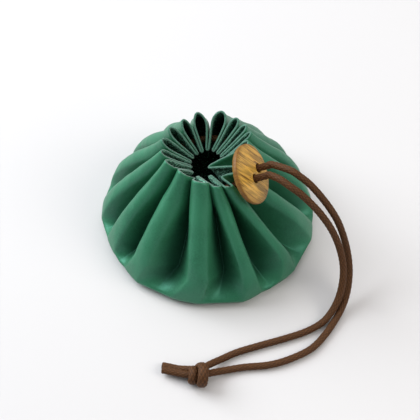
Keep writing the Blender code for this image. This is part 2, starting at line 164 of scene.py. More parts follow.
class PouchCordSettings(bpy.types.PropertyGroup):
    diameter: bpy.props.FloatProperty(
        name="Diameter", description="Diameter of the braided cord", default=3.4 * MM,
        min=0.5 * MM, unit="LENGTH")
    relief: bpy.props.FloatProperty(
        name="Braid relief", description="Depth of the braid between its plaits", default=0.30 * MM,
        min=0.0, unit="LENGTH")
    plait_length: bpy.props.FloatProperty(
        name="Plait length", description="Length of one plait along the cord", default=1.2 * MM,
        min=0.1 * MM, unit="LENGTH")
    brown: bpy.props.FloatVectorProperty(
        name="Brown", description="Colour of the waxed cord", default=(0.088, 0.035, 0.011),
        min=0.0, max=1.0, size=3, subtype="COLOR")


class PouchButtonSettings(bpy.types.PropertyGroup):
    diameter: bpy.props.FloatProperty(
        name="Diameter", description="Diameter of the wooden button", default=27.5 * MM,
        min=1.0 * MM, unit="LENGTH")
    thickness: bpy.props.FloatProperty(
        name="Thickness", description="Thickness of the wooden button", default=2.7 * MM,
        min=0.5 * MM, unit="LENGTH")
    edge_round: bpy.props.FloatProperty(
        name="Edge round", description="Radius of the button's rounded edge", default=0.6 * MM,
        min=0.0, unit="LENGTH")
    light_wood: bpy.props.FloatVectorProperty(
        name="Light wood", description="Colour of the wood between its streaks",
        default=(0.620, 0.355, 0.062), min=0.0, max=1.0, size=3, subtype="COLOR")
    dark_wood: bpy.props.FloatVectorProperty(
        name="Dark wood", description="Colour of the wood's streaks", default=(0.150, 0.058, 0.008),
        min=0.0, max=1.0, size=3, subtype="COLOR")


class PouchStageSettings(bpy.types.PropertyGroup):
    floor_colour: bpy.props.FloatVectorProperty(
        name="Floor", description="Colour of the floor", default=(0.640, 0.628, 0.640),
        min=0.0, max=1.0, size=3, subtype="COLOR")
    key_power: bpy.props.FloatProperty(
        name="Key light", description="Power of the large soft light behind and to the left",
        default=12.2, min=0.0, unit="POWER")
    sky_strength: bpy.props.FloatProperty(
        name="Sky", description="Strength of the even light from all sides", default=0.27, min=0.0)
    camera_distance: bpy.props.FloatProperty(
        name="Camera distance", description="Distance from the camera to the middle of the view",
        default=0.520, min=0.0, unit="LENGTH")
    camera_elevation: bpy.props.FloatProperty(
        name="Camera elevation", description="Angle of the camera over the floor",
        default=math.radians(55.0), subtype="ANGLE")


def smooth_step(value, low, high):
    """0 below low, 1 above high and 3 s^2 - 2 s^3 between, where s is the way from low to high."""
    step = np.clip((value - low) / (high - low), 0.0, 1.0)
    return step * step * (3.0 - 2.0 * step)


def bell(value, middle, width):
    """1 at the middle, falling off to both sides as exp(-((value - middle) / width)^2)."""
    return np.exp(-((value - middle) / width) ** 2)


def soft_least(first, second, blend=0.5 * MM):
    """Lesser of two lengths, rounded off where they come within the blend of each other."""
    apart = np.clip(0.5 + 0.5 * (second - first) / blend, 0.0, 1.0)
    return second + (first - second) * apart - blend * apart * (1.0 - apart)


def plan(azimuth, radius, height):
    """Points at azimuths in degrees from the front, radii and heights."""
    angle = np.radians(azimuth)
    return np.stack([radius * np.sin(angle), -radius * np.cos(angle), height + 0.0 * angle], axis=-1)


def flat_unit(vectors):
    """Vectors laid level and made one long."""
    level = vectors * np.array([1.0, 1.0, 0.0])
    return level / np.linalg.norm(level, axis=-1, keepdims=True)


def bowed(foot, top, level, bow):
    """Straight lines from feet to tops, bowed out of the wall's slope by bow * 6.75 t (1 - t)^2."""
    point = foot + (top - foot) * level
    height = 6.75 * level * (1.0 - level) ** 2 * bow
    lean = flat_unit(point) * WALL_NORMAL[0] + np.array([0.0, 0.0, WALL_NORMAL[1]])
    return point + lean * height


def crest_and_crease_lines(levels, leather):
    """Crest and crease points of every pleat at each level, and the creases' move at the rim.

    Both are bowed lines from the foot to the rim. Their feet are turned a little just above the
    base, and the creases are pinched in low down by level * exp(1 - level), scaled to its peak.
    """
    rim_az, rim_shift, rim_drop, _, base_az, base_shift, fold_az, fold_shift, fold_rise = PLEATS.T
    foot_turn, _, share_after, tuck_turn, tuck_shift, tuck_rise, _ = DRAPE.T
    foot_radius = leather.base_radius + base_shift * MM
    foot = plan(base_az, foot_radius, FOOT_HEIGHT)
    turned = plan(base_az + foot_turn, foot_radius, FOOT_HEIGHT) - foot
    tip = plan(rim_az, leather.rim_radius + rim_shift * MM, leather.rim_height - rim_drop * MM)

    turn = np.mod(np.roll(base_az, -1) - base_az, 360.0)
    corner = leather.base_radius + 0.5 * (base_shift + np.roll(base_shift, -1)) * MM
    corner *= 1.0 - SIDE_SAG * (1.0 - np.cos(np.radians(turn / 2.0)))
    fold_foot = plan(base_az + turn / 2.0, corner, FOOT_HEIGHT)
    fold_turned = plan(base_az + turn * share_after, corner, FOOT_HEIGHT) - fold_foot
    fold_radius, fold_height = NECK_RADIUS + fold_shift * MM, NECK_HEIGHT + fold_rise * MM
    fold_top = plan(fold_az, fold_radius, fold_height)
    tuck = plan(fold_az + tuck_turn, fold_radius + tuck_shift * MM, fold_height + tuck_rise * MM) - fold_top

    level = levels[:, None, None]
    above_foot = np.clip(level / 0.20, 0.0, 1.0) * (1.0 - level)
    crest = bowed(foot, tip, level, leather.crest_bulge) + turned * above_foot
    fold = bowed(fold_foot, fold_top, level, -leather.crease_sag) + fold_turned * above_foot
    fold -= flat_unit(fold) * CREASE_PINCH * level / PINCH_LEVEL * np.exp(1.0 - level / PINCH_LEVEL)
    fold[:, LOOSE_PLEAT, 1] -= LOOSE_SLUMP * bell(levels, 0.86, 0.07)
    return foot, crest, fold, tuck


def pleat_rings(levels, leather):
    """Control points of the gathered wall, one closed ring for each level from 0, base, to 1, rim.

    Each pleat is a crease, two straight walls and a half-round loop: loop point = crest moved back
    along the fold by length * (1 - cos a) and sideways by half width * sin a. The half width goes
    from a quarter of the crest spacing at the base through the pleat's low one to its own at the
    rim, swells under the rim by t^4 (1 - t), and stays short of the plane between it and its
    neighbour. The fourth number of each point tells how deep in a fold it lies, from 0 to 1.
    """
    t = levels[:, None]
    level = levels[:, None, None]
    half, low_half, rim_depth = PLEATS[:, 3] * MM, DRAPE[:, 1] * MM, DRAPE[:, 6]
    foot, crest, fold, tuck = crest_and_crease_lines(levels, leather)
    before = np.roll(fold, 1, axis=1)
    late = smooth_step(t, 0.72, 1.0)

    gaps = np.linalg.norm(np.roll(foot, -1, axis=0) - foot, axis=-1)
    spacing = np.minimum(gaps, np.roll(gaps, 1))
    low = (1.0 - t) ** 5
    swell = 9.76 * MM * t ** 4 * (1.0 - t)
    width = low * spacing / 4.0 + (1.0 - low) * ((1.0 - t) * low_half + t * half) + swell
    share = (width / (width + np.roll(width, -1, axis=1)))[..., None]
    middle = crest + (np.roll(crest, -1, axis=1) - crest) * share
    pull = 20.0 * MM * (1.0 - level) ** 2
    run = flat_unit(middle - fold + flat_unit(middle) * pull)
    root = (before + fold) / 2.0
    outward = flat_unit(crest - root + flat_unit(crest) * pull)
    across = np.stack([-outward[..., 1], outward[..., 0], 0.0 * outward[..., 2]], axis=-1)
    length = width * ((1.0 - t) * 0.09 + t * 1.25) * (1.0 - late * (1.0 - rim_depth))
    slope = (root[..., 2] - crest[..., 2]) / np.sum((crest - root) * outward, axis=-1)
    centre = crest - outward * length[..., None]

    def plane_distance(point, crease, direction):
        offset = point - crease
        return offset[..., 0] * direction[..., 1] - offset[..., 1] * direction[..., 0]

    room_after = plane_distance(centre, fold, run) - PLEAT_GAP / 2.0
    room_before = -plane_distance(centre, before, np.roll(run, 1, axis=1)) - PLEAT_GAP / 2.0
    side = np.where(LOOP_ANGLES < 0.0, soft_least(width, room_before)[..., None],
                    soft_least(width, room_after)[..., None])
    drop = length[..., None] * (1.0 - np.cos(LOOP_ANGLES))
    loop = (crest[..., None, :] - outward[..., None, :] * drop[..., None]
            + across[..., None, :] * (side * np.sin(LOOP_ANGLES))[..., None])
    loop[..., 2] = crest[..., None, 2] + slope[..., None] * drop

    fold = fold + tuck * late[..., None]
    before = np.roll(fold, 1, axis=1)

    def along_wall(crease, end):
        wall = end - crease
        return crease + wall / np.linalg.norm(wall, axis=-1, keepdims=True) * FOLD_NOSE

    gap = across * FOLD_GAP / 2.0 * level
    start = along_wall(before, loop[..., 0, :]) + gap
    end = along_wall(fold, loop[..., -1, :]) - gap
    parts = [before, start, (start + loop[..., 0, :]) / 2.0]
    parts += [loop[..., k, :] for k in range(len(LOOP_ANGLES))]
    parts += [(end + loop[..., -1, :]) / 2.0, end]
    section = np.stack(parts, axis=2)
    # The fold depth below only sets the painted shade in the leather's colour: darker deep in the creases,
    # less near the rim and on the loose pleat.
    inward = np.concatenate([[1.0, 0.95, 0.75], (1.0 - np.cos(LOOP_ANGLES)) / 2.0, [0.75, 0.95]])
    deep = np.clip(np.linalg.norm(crest - root, axis=-1) / (11.0 * MM), 0.0, 1.0) * (1.0 - 0.8 * t ** 6)
    deep[:, LOOSE_PLEAT] *= 0.60
    depth = inward[:, None] * deep[..., None, None]
    return np.concatenate([section, depth], axis=-1).reshape(len(levels), -1, 4)


def spline_ring(control, steps):
    """Closed uniform cubic B-spline through rings of control points, sampled steps times a span."""
    before = np.roll(control, 1, axis=1)
    after = np.roll(control, -1, axis=1)
    later = np.roll(control, -2, axis=1)
    samples = []
    for u in np.arange(steps) / steps:
        weights = ((1 - u) ** 3 / 6, (3 * u ** 3 - 6 * u ** 2 + 4) / 6,
                   (-3 * u ** 3 + 3 * u ** 2 + 3 * u + 1) / 6, u ** 3 / 6)
        samples.append(before * weights[0] + control * weights[1] + after * weights[2] + later * weights[3])
    return np.stack(samples, axis=2).reshape(control.shape[0], -1, control.shape[2])


def leather_grid(leather):
    """Rows of the leather disc from the middle of the base to the rim, their levels and fold depths.

    The base is flat rings, the corner is a quarter ellipse from the flat up to the first ring of the
    wall, and the wall is the gathered rings.
    """
    wall_levels = np.linspace(0.0, 1.0, 54) ** 1.08
    wall = spline_ring(pleat_rings(wall_levels, leather), 3)
    wall, depth = wall[..., :3], wall[..., 3]
    foot = wall[0]
    radius = np.linalg.norm(foot[:, :2], axis=1)
    lean = np.radians(np.linspace(0.0, 90.0, 8)[:-1])[:, None]
    inset = CORNER_INSET * (1.0 - np.sin(lean))
    corner = foot[None] * (1.0 - inset / radius)[..., None]
    corner[..., 2] = FOOT_HEIGHT * (1.0 - np.cos(lean))
    shrink = np.array([0.02, 0.3, 0.6, 0.85, 0.95])[:, None, None]
    flat = corner[:1] * shrink
    rows = np.concatenate([flat, corner, wall])
    below = len(rows) - len(wall_levels)
    level = np.concatenate([np.zeros(below), wall_levels])
    return rows, level, np.concatenate([np.repeat(depth[:1], below, axis=0), depth])


def smooth_noise(points, scale, seed, octaves=3):
    """Smooth value of about -1 to 1 at each point: a sum of sines with directions from a fixed seed."""
    rng = np.random.default_rng(seed)
    total = np.zeros(points.shape[:-1])
    for octave in range(octaves):
        waves = rng.normal(size=(6, 3)) * 2.0 ** octave / scale
        phases = rng.uniform(0.0, 2.0 * np.pi, 6)
        total += np.sin(points @ waves.T + phases).mean(axis=-1) / 1.6 ** octave
    return total * 1.6


def catmull_rom(points, spacing):
    """Even points along a Catmull-Rom curve through a route, its pieces worked out as one array."""
    points = np.asarray(points, dtype=float)
    padded = np.concatenate([[2 * points[0] - points[1]], points, [2 * points[-1] - points[-2]]])
    a, b, c, d = (padded[k:len(padded) - 3 + k, None, :] for k in range(4))
    u = (np.arange(48) / 48)[None, :, None]
    curve = 0.5 * (2 * b + (c - a) * u + (2 * a - 5 * b + 4 * c - d) * u ** 2
                   + (3 * b - a - 3 * c + d) * u ** 3)
    dense = np.concatenate([curve.reshape(-1, 3), points[-1:]])
    along = np.concatenate([[0.0], np.cumsum(np.linalg.norm(np.diff(dense, axis=0), axis=1))])
    wanted = np.linspace(0.0, along[-1], max(4, round(along[-1] / spacing)) + 1)
    return np.stack([np.interp(wanted, along, dense[:, axis]) for axis in range(3)], axis=1)


def cord_surface(path, cord, reference, around=40, swell=None):
    """Braided cord along a path, as rows of points round it and the height of its braid there.

    Point = path + radius * (cos a * side + sin a * up), where side is across the path and the
    reference direction, and the radius loses the relief where |cos(4a + ks)| * |cos(4a - ks)|,
    the plaits' two crossing windings, falls to nothing. Swell widens it along up where it is
    squashed. The height is 0 at both cut ends, which makes them dark.
    """
    tangent = np.gradient(path, axis=0)
    tangent /= np.linalg.norm(tangent, axis=1, keepdims=True)
    side = np.cross(tangent, reference)
    side /= np.linalg.norm(side, axis=1, keepdims=True)
    up = np.cross(side, tangent)
    along = np.concatenate([[0.0], np.cumsum(np.linalg.norm(np.diff(path, axis=0), axis=1))])
    angle = np.linspace(0.0, 2.0 * np.pi, around, endpoint=False)[None, :]
    wind = np.pi * along[:, None] / cord.plait_length / 2.0
    # The braid's height also sets the cord's colour: painted shade that is darkest in the grooves between
    # the plaits. The cut ends, at 0, get the same darkest colour.
    plait = np.abs(np.cos(4.0 * angle + wind) * np.cos(4.0 * angle - wind)) ** 0.6
    plait[[0, -1]] = 0.0
    radius = cord.diameter / 2.0 - cord.relief * (1.0 - plait)
    wide = radius if swell is None else radius * swell[:, None]
    points = (path[:, None, :] + (radius * np.cos(angle))[..., None] * side[:, None, :]
              + (wide * np.sin(angle))[..., None] * up[:, None, :])
    return points, plait


def grid_mesh(name, points, close_start=False, close_end=False, attributes=None):
    """Mesh of a grid whose rows close on themselves, with a middle point at an end that is closed."""
    rows, count = points.shape[:2]
    index = np.arange(rows * count).reshape(rows, count)
    turned = np.roll(index, -1, axis=1)
    quads = np.stack([index[:-1], turned[:-1], turned[1:], index[1:]], axis=-1).reshape(-1, 4)
    verts = points.reshape(-1, 3)
    values = {key: np.asarray(value).reshape(rows * count, -1)
              for key, value in (attributes or {}).items()}
    faces = quads.tolist()
    for closed, row, order in ((close_start, 0, 1), (close_end, rows - 1, -1)):
        if closed:
            pole = len(verts)
            verts = np.concatenate([verts, points[row].mean(axis=0)[None]])
            values = {key: np.concatenate([value, value[index[row]].mean(axis=0)[None]])
                      for key, value in values.items()}
            fan = np.stack([np.full(count, pole), turned[row], index[row]], axis=-1)[:, ::order]
            faces += fan.tolist()
    mesh = bpy.data.meshes.new(name)
    mesh.from_pydata(verts.tolist(), [], faces)
    for key, value in values.items():
        kind = "FLOAT" if value.shape[1] == 1 else "FLOAT_VECTOR"
        layer = mesh.attributes.new(key, kind, "POINT")
        layer.data.foreach_set("value" if value.shape[1] == 1 else "vector", value.ravel())
    mesh.update()
    face_out(mesh)
    return mesh


def face_out(mesh):
    """Turns a closed or nearly closed mesh's faces outwards, by the sign of its volume."""
    mesh.calc_loop_triangles()
    corners = np.empty(len(mesh.loop_triangles) * 3, dtype=np.int32)
    mesh.loop_triangles.foreach_get("vertices", corners)
    places = np.empty(len(mesh.vertices) * 3)
    mesh.vertices.foreach_get("co", places)
    a, b, c = places.reshape(-1, 3)[corners.reshape(-1, 3)].transpose(1, 0, 2)
    if np.einsum("ij,ij->i", a, np.cross(b, c)).sum() < 0.0:
        mesh.flip_normals()


def new_piece(mesh, body, slot, materials, *nodes):
    """Puts a mesh in the scene as a piece that rides on a body and stands for CAD nodes."""
    piece = bpy.data.objects.new(mesh.name, mesh)
    bpy.context.scene.collection.objects.link(piece)
    for material in materials:
        mesh.materials.append(material)
    mesh.shade_smooth()
    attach(piece, body)
    if nodes:
        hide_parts(*nodes)
    return piece


def node_at(tree, kind, place, **values):
    node = tree.nodes.new(kind)
    node.location = place
    for key, value in values.items():
        setattr(node, key, value)
    return node


def speckle_group():
    """Node group: fine light fibres on a dark nap, as a 0 to 1 mask and a height."""
    name = "pouch_speckle"
    if name in bpy.data.node_groups:
        return bpy.data.node_groups[name]
    tree = bpy.data.node_groups.new(name, "ShaderNodeTree")
    face = tree.interface
    face.new_socket("Vector", in_out="INPUT", socket_type="NodeSocketVector")
    scale = face.new_socket("Scale", in_out="INPUT", socket_type="NodeSocketFloat")
    scale.default_value = 2500.0
    share = face.new_socket("Threshold", in_out="INPUT", socket_type="NodeSocketFloat")
    share.default_value = 0.55
    face.new_socket("Mask", in_out="OUTPUT", socket_type="NodeSocketFloat")
    face.new_socket("Height", in_out="OUTPUT", socket_type="NodeSocketFloat")
    given = node_at(tree, "NodeGroupInput", (-700, 0))
    result = node_at(tree, "NodeGroupOutput", (500, 0))
    fine = node_at(tree, "ShaderNodeTexNoise", (-450, 100))
    fine.inputs["Detail"].default_value = 3.0
    fine.inputs["Roughness"].default_value = 0.7
    above = node_at(tree, "ShaderNodeMath", (-200, 100), operation="SUBTRACT")
    sharpen = node_at(tree, "ShaderNodeMath", (0, 100), operation="MULTIPLY", use_clamp=True)
    sharpen.inputs[1].default_value = 6.0
    tree.links.new(given.outputs["Vector"], fine.inputs["Vector"])
    tree.links.new(given.outputs["Scale"], fine.inputs["Scale"])
    tree.links.new(fine.outputs["Fac"], above.inputs[0])
    tree.links.new(given.outputs["Threshold"], above.inputs[1])
    tree.links.new(above.outputs[0], sharpen.inputs[0])
    tree.links.new(sharpen.outputs[0], result.inputs["Mask"])
    tree.links.new(fine.outputs["Fac"], result.inputs["Height"])
    return tree


def add_group(tree, group, place, **values):
    node = node_at(tree, "ShaderNodeGroup", place)
    node.node_tree = group
    for key, value in values.items():
        node.inputs[key].default_value = value
    return node


def new_finish(name, roughness, specular=0.5):
    """Material with its Principled shader, emptied of everything else but its output."""
    material = bpy.data.materials.new(name)
    material.use_nodes = True
    shader = material.node_tree.nodes["Principled BSDF"]
    shader.inputs["Roughness"].default_value = roughness
    shader.inputs["Specular IOR Level"].default_value = specular
    return material, material.node_tree, shader


def mix_colours(tree, place, mask, first, second):
    """Mix node between two colours, each a colour or another node's socket."""
    mix = node_at(tree, "ShaderNodeMix", place, data_type="RGBA")
    for socket, value in ((mix.inputs[6], first), (mix.inputs[7], second)):
        if isinstance(value, bpy.types.NodeSocket):
            tree.links.new(value, socket)
        else:
            socket.default_value = (*value, 1.0)
    tree.links.new(mask, mix.inputs[0])
    return mix.outputs[2]


def map_value(tree, place, value, low, high, to_low=0.0, to_high=1.0, smooth=False):
    """Map Range node from low..high to to_low..to_high, clamped."""
    ramp = node_at(tree, "ShaderNodeMapRange", place)
    ramp.interpolation_type = "SMOOTHSTEP" if smooth else "LINEAR"
    for key, number in (("From Min", low), ("From Max", high), ("To Min", to_low), ("To Max", to_high)):
        ramp.inputs[key].default_value = number
    tree.links.new(value, ramp.inputs["Value"])
    return ramp.outputs["Result"]


def bump(tree, place, height, distance, strength, normal=None):
    node = node_at(tree, "ShaderNodeBump", place)
    node.inputs["Distance"].default_value = distance
    node.inputs["Strength"].default_value = strength
    tree.links.new(height, node.inputs["Height"])
    if normal is not None:
        tree.links.new(normal, node.inputs["Normal"])
    return node.outputs["Normal"]


def shade(colour, factor):
    return tuple(min(1.0, channel * factor) for channel in colour)


def leather_finish(leather):
    """Smooth dyed leather: faint clouding, fine grain, and painted shade that darkens it deep in the folds.
    """
    material, tree, shader = new_finish("green_leather_face", 0.40, 0.75)
    shader.inputs["Specular Tint"].default_value = (0.35, 1.0, 0.82, 1.0)
    place = node_at(tree, "ShaderNodeTexCoord", (-1300, 0))
    clouds = node_at(tree, "ShaderNodeTexNoise", (-1000, 300))
    clouds.inputs["Scale"].default_value = 90.0
    clouds.inputs["Detail"].default_value = 4.0
    tree.links.new(place.outputs["Object"], clouds.inputs["Vector"])
    mask = map_value(tree, (-800, 300), clouds.outputs["Fac"], 0.32, 0.70, smooth=True)
    base = mix_colours(tree, (-550, 300), mask, shade(leather.green, 0.86), shade(leather.green, 1.20))
    fine = node_at(tree, "ShaderNodeTexNoise", (-1000, -400))
    fine.inputs["Scale"].default_value = 1100.0
    fine.inputs["Detail"].default_value = 3.0
    tree.links.new(place.outputs["Object"], fine.inputs["Vector"])
    grain = map_value(tree, (-800, -400), fine.outputs["Fac"], 0.30, 0.75)
    toned = mix_colours(tree, (-400, 300), grain, base, shade(leather.green, 1.30))
    # Painted shade: deep in the folds, where shade falls, the colour is darkened towards 0.15 of the green
    # by the fold depth from pleat_rings.
    fold = node_at(tree, "ShaderNodeAttribute", (-1000, 600), attribute_name="fold")
    painted_fold_shade = map_value(tree, (-800, 600), fold.outputs["Fac"], 0.40, 1.0, 0.0, 0.80, smooth=True)
    colour = mix_colours(tree, (-250, 300), painted_fold_shade, toned, shade(leather.green, 0.15))
    tree.links.new(colour, shader.inputs["Base Color"])
    pebble = node_at(tree, "ShaderNodeTexVoronoi", (-1000, -100))
    pebble.inputs["Scale"].default_value = 1300.0
    tree.links.new(place.outputs["Object"], pebble.inputs["Vector"])
    relief = bump(tree, (-300, -200), pebble.outputs["Distance"], 0.00010, 0.30)
    soft = bump(tree, (-100, -300), fine.outputs["Fac"], 0.00012, 0.30, relief)
    tree.links.new(soft, shader.inputs["Normal"])
    rough = map_value(tree, (-300, 0), clouds.outputs["Fac"], 0.3, 0.7, 0.40, 0.50)
    tree.links.new(rough, shader.inputs["Roughness"])
    return material


def suede_finish(leather):
    """Napped flesh side: dark ground with fine light fibres."""
    material, tree, shader = new_finish("green_suede_lining", 0.95, 0.15)
    place = node_at(tree, "ShaderNodeTexCoord", (-1100, 0))
    fleck = add_group(tree, speckle_group(), (-800, 0), Scale=1000.0, Threshold=0.50)
    tree.links.new(place.outputs["Object"], fleck.inputs["Vector"])
    ground, fibre = shade(leather.suede, 0.32), shade(leather.suede, 2.8)
    colour = mix_colours(tree, (-500, 100), fleck.outputs["Mask"], ground, fibre)
    tree.links.new(colour, shader.inputs["Base Color"])
    tree.links.new(bump(tree, (-300, -200), fleck.outputs["Height"], 0.0004, 0.6), shader.inputs["Normal"])
    return material


def edge_finish(leather):
    """Cut edge of the leather: pale and fuzzy."""
    material, tree, shader = new_finish("green_cut_edge", 0.9, 0.2)
    shader.inputs["Sheen Weight"].default_value = 0.3
    place = node_at(tree, "ShaderNodeTexCoord", (-1100, 0))
    fleck = add_group(tree, speckle_group(), (-800, 0), Scale=1800.0, Threshold=0.48)
    tree.links.new(place.outputs["Object"], fleck.inputs["Vector"])
    colour = mix_colours(tree, (-500, 100), fleck.outputs["Mask"], shade(leather.edge, 0.55), leather.edge)
    tree.links.new(colour, shader.inputs["Base Color"])
    tree.links.new(bump(tree, (-300, -200), fleck.outputs["Height"], 0.0005, 0.7), shader.inputs["Normal"])
    return material


def cord_finish(cord):
    """Waxed braid, its colour with painted shade: dark in the grooves between the plaits and a little
    lighter on top of them.
    """
    name = "brown_braided_cord"
    if name in bpy.data.materials:
        return bpy.data.materials[name]
    material, tree, shader = new_finish(name, 0.62, 0.22)
    plait = node_at(tree, "ShaderNodeAttribute", (-1100, 0), attribute_name="plait")
    place = node_at(tree, "ShaderNodeTexCoord", (-1100, -300))
    fibre = add_group(tree, speckle_group(), (-800, -300), Scale=2600.0, Threshold=0.56)
    tree.links.new(place.outputs["Object"], fibre.inputs["Vector"])
    # Painted shade: the braid's height darkens the colour to 0.45 of the brown in the grooves between the
    # plaits.
    top = map_value(tree, (-800, 100), plait.outputs["Fac"], 0.15, 0.95)
    ground = mix_colours(tree, (-500, 100), top, shade(cord.brown, 0.45), shade(cord.brown, 1.15))
    colour = mix_colours(tree, (-250, 100), fibre.outputs["Mask"], ground, shade(cord.brown, 2.8))
    tree.links.new(colour, shader.inputs["Base Color"])
    tree.links.new(bump(tree, (-300, -200), fibre.outputs["Height"], 0.0003, 0.5), shader.inputs["Normal"])
    return material


def wood_finish(button):
    """Oiled wood: broad bent bands, thin dark streaks, fine fibres and a browner rim."""
    material, tree, shader = new_finish("light_streaked_wood", 0.42, 0.30)
    grain = node_at(tree, "ShaderNodeAttribute", (-1500, 0), attribute_name="grain")
    layers = []
    stretches = (((34.0, 230.0, 150.0), 3.0, 1.8), ((55.0, 1250.0, 400.0), 4.0, 0.8),
                 ((110.0, 2600.0, 1500.0), 3.0, 0.2))
    for row, (scale, detail, bend) in enumerate(stretches):
        stretch = node_at(tree, "ShaderNodeMapping", (-1300, 300 - 350 * row))
        stretch.inputs["Scale"].default_value = scale
        tree.links.new(grain.outputs["Vector"], stretch.inputs["Vector"])
        noise = node_at(tree, "ShaderNodeTexNoise", (-1050, 300 - 350 * row))
        noise.inputs["Scale"].default_value = 1.0
        noise.inputs["Detail"].default_value = detail
        noise.inputs["Distortion"].default_value = bend
        tree.links.new(stretch.outputs["Vector"], noise.inputs["Vector"])
        layers.append(noise.outputs["Fac"])
    bands, streaks, fibres = layers
    tone = map_value(tree, (-800, 300), bands, 0.36, 0.62, smooth=True)
    light, middle = shade(button.light_wood, 1.20), shade(button.light_wood, 0.58)
    pale = mix_colours(tree, (-600, 300), tone, light, middle)
    dark = map_value(tree, (-800, 0), streaks, 0.54, 0.60, 0.0, 0.85, smooth=True)
    streaked = mix_colours(tree, (-400, 200), dark, pale, button.dark_wood)
    thin = map_value(tree, (-800, -400), fibres, 0.48, 0.70, 0.0, 0.45)
    wood = mix_colours(tree, (-200, 100), thin, streaked, shade(button.dark_wood, 1.3))
    # Darker towards the rim, over the disc's rounded edge, up to 0.85 of the way to the dark wood.
    rim = node_at(tree, "ShaderNodeAttribute", (-800, 600), attribute_name="rim")
    rim_darkening = map_value(tree, (-600, 600), rim.outputs["Fac"], 0.0, 1.0, 0.0, 0.85)
    colour = mix_colours(tree, (0, 100), rim_darkening, wood, button.dark_wood)
    tree.links.new(colour, shader.inputs["Base Color"])
    tree.links.new(bump(tree, (-200, -300), fibres, 0.0002, 0.35), shader.inputs["Normal"])
    return material


def floor_finish(colour):
    material, tree, shader = new_finish("pale_floor", 0.9, 0.1)
    shader.inputs["Base Color"].default_value = (*colour, 1.0)
    return material


def button_frame():
    """Button's outward axis, sideways and upward directions and front centre, in metres."""
    azimuth, tilt = math.radians(80.0), math.radians(33.0)
    axis = np.array([math.sin(azimuth) * math.cos(tilt), -math.cos(azimuth) * math.cos(tilt),
                     math.sin(tilt)])
    across = np.cross([0.0, 0.0, 1.0], axis)
    across /= np.linalg.norm(across)
    up = np.cross(axis, across)
    return axis, across, up, plan(56.0, 24.6 * MM, 56.0 * MM)


def hole_centres():
    """Front centres of the button's upper and lower hole."""
    _, across, up, centre = button_frame()
    return centre + (across * 5.6 - up * 3.2) * MM, centre + (-across * 0.9 - up * 2.4) * MM


class POUCH_OT_leather(bpy.types.Operator):
    """Gathered leather disc with its suede side in and a fuzzy cut edge"""
    bl_idname = "pouch.leather"
    bl_label = "Leather"

    def execute(self, context):
        leather = context.scene.pouch_leather
        rows, level, depth = leather_grid(leather)
        free = np.sin(np.pi * level)[:, None, None]
        sway = smooth_noise(rows, 0.006, 11)[..., None] * flat_unit(rows + 1e-9)
        rows = rows + sway * free * 0.35 * MM
        rows[-1, :, 2] += smooth_noise(rows[-1], 0.004, 5) * 0.25 * MM
        # The fold depth goes with the mesh as the attribute that sets the painted shade in the folds.
        mesh = grid_mesh("leather_pouch", rows, close_start=True, attributes={"fold": depth})
        finishes = [leather_finish(leather), suede_finish(leather), edge_finish(leather)]
        piece = new_piece(mesh, "pouch", "leather", finishes, "pouch_body")
        wall = piece.modifiers.new("thickness", "SOLIDIFY")
        wall.thickness = leather.thickness
        wall.offset = -1.0
        wall.use_even_offset = False
        wall.material_offset = 1
        wall.material_offset_rim = 2
        return {"FINISHED"}


class POUCH_OT_neck_cord(bpy.types.Operator):
    """Part of the cord that runs round the neck through the pleats"""
    bl_idname = "pouch.neck_cord"
    bl_label = "Neck cord"

    def execute(self, context):
        cord = context.scene.pouch_cord
        axis = button_frame()[0]
        upper, lower = hole_centres()
        leads = np.array([1.8, 3.6, 5.5])[:, None] * MM
        azimuth = np.linspace(97.0, 397.0, 24)
        tuck = 3.0 * MM * bell(azimuth, 345.0, 24.0)
        sink = 2.5 * MM * bell(azimuth, 195.0, 45.0)
        ring = plan(azimuth, CORD_RING_RADIUS - tuck, NECK_HEIGHT - sink) + np.array([0.3, -1.0, 0.0]) * MM
        route = np.concatenate([upper - axis * leads, ring, (lower - axis * leads)[::-1]])
        path = catmull_rom(route, CORD_STEP)
        points, plait = cord_surface(path, cord, np.array([0.0, 0.0, 1.0]))
        mesh = grid_mesh("neck_cord", points, True, True, {"plait": plait})
        new_piece(mesh, "pouch", "cord", [cord_finish(cord)], "cord_neck")
        return {"FINISHED"}


class POUCH_OT_strands(bpy.types.Operator):
    """Two free strands from the button to the knot"""
    bl_idname = "pouch.strands"
    bl_label = "Free strands"

    def execute(self, context):
        cord = context.scene.pouch_cord
        axis = button_frame()[0]
        routes = (("strand_upper", "cord_strand_upper", hole_centres()[0], UPPER_ROUTE),
                  ("strand_lower", "cord_strand_lower", hole_centres()[1], LOWER_ROUTE))
        for name, node, hole, free in routes:
            straight = [hole + axis * step * MM for step in (-2.2, 2.5, 5.2, 7.1)]
            path = catmull_rom(np.concatenate([straight, np.array(free) * MM]), CORD_STEP)
            points, plait = cord_surface(path, cord, np.array([0.0, 0.0, 1.0]))
            mesh = grid_mesh(name, points, True, True, {"plait": plait})
            piece = new_piece(mesh, "pouch", "cord", [cord_finish(cord)], node)
        return {"FINISHED"}


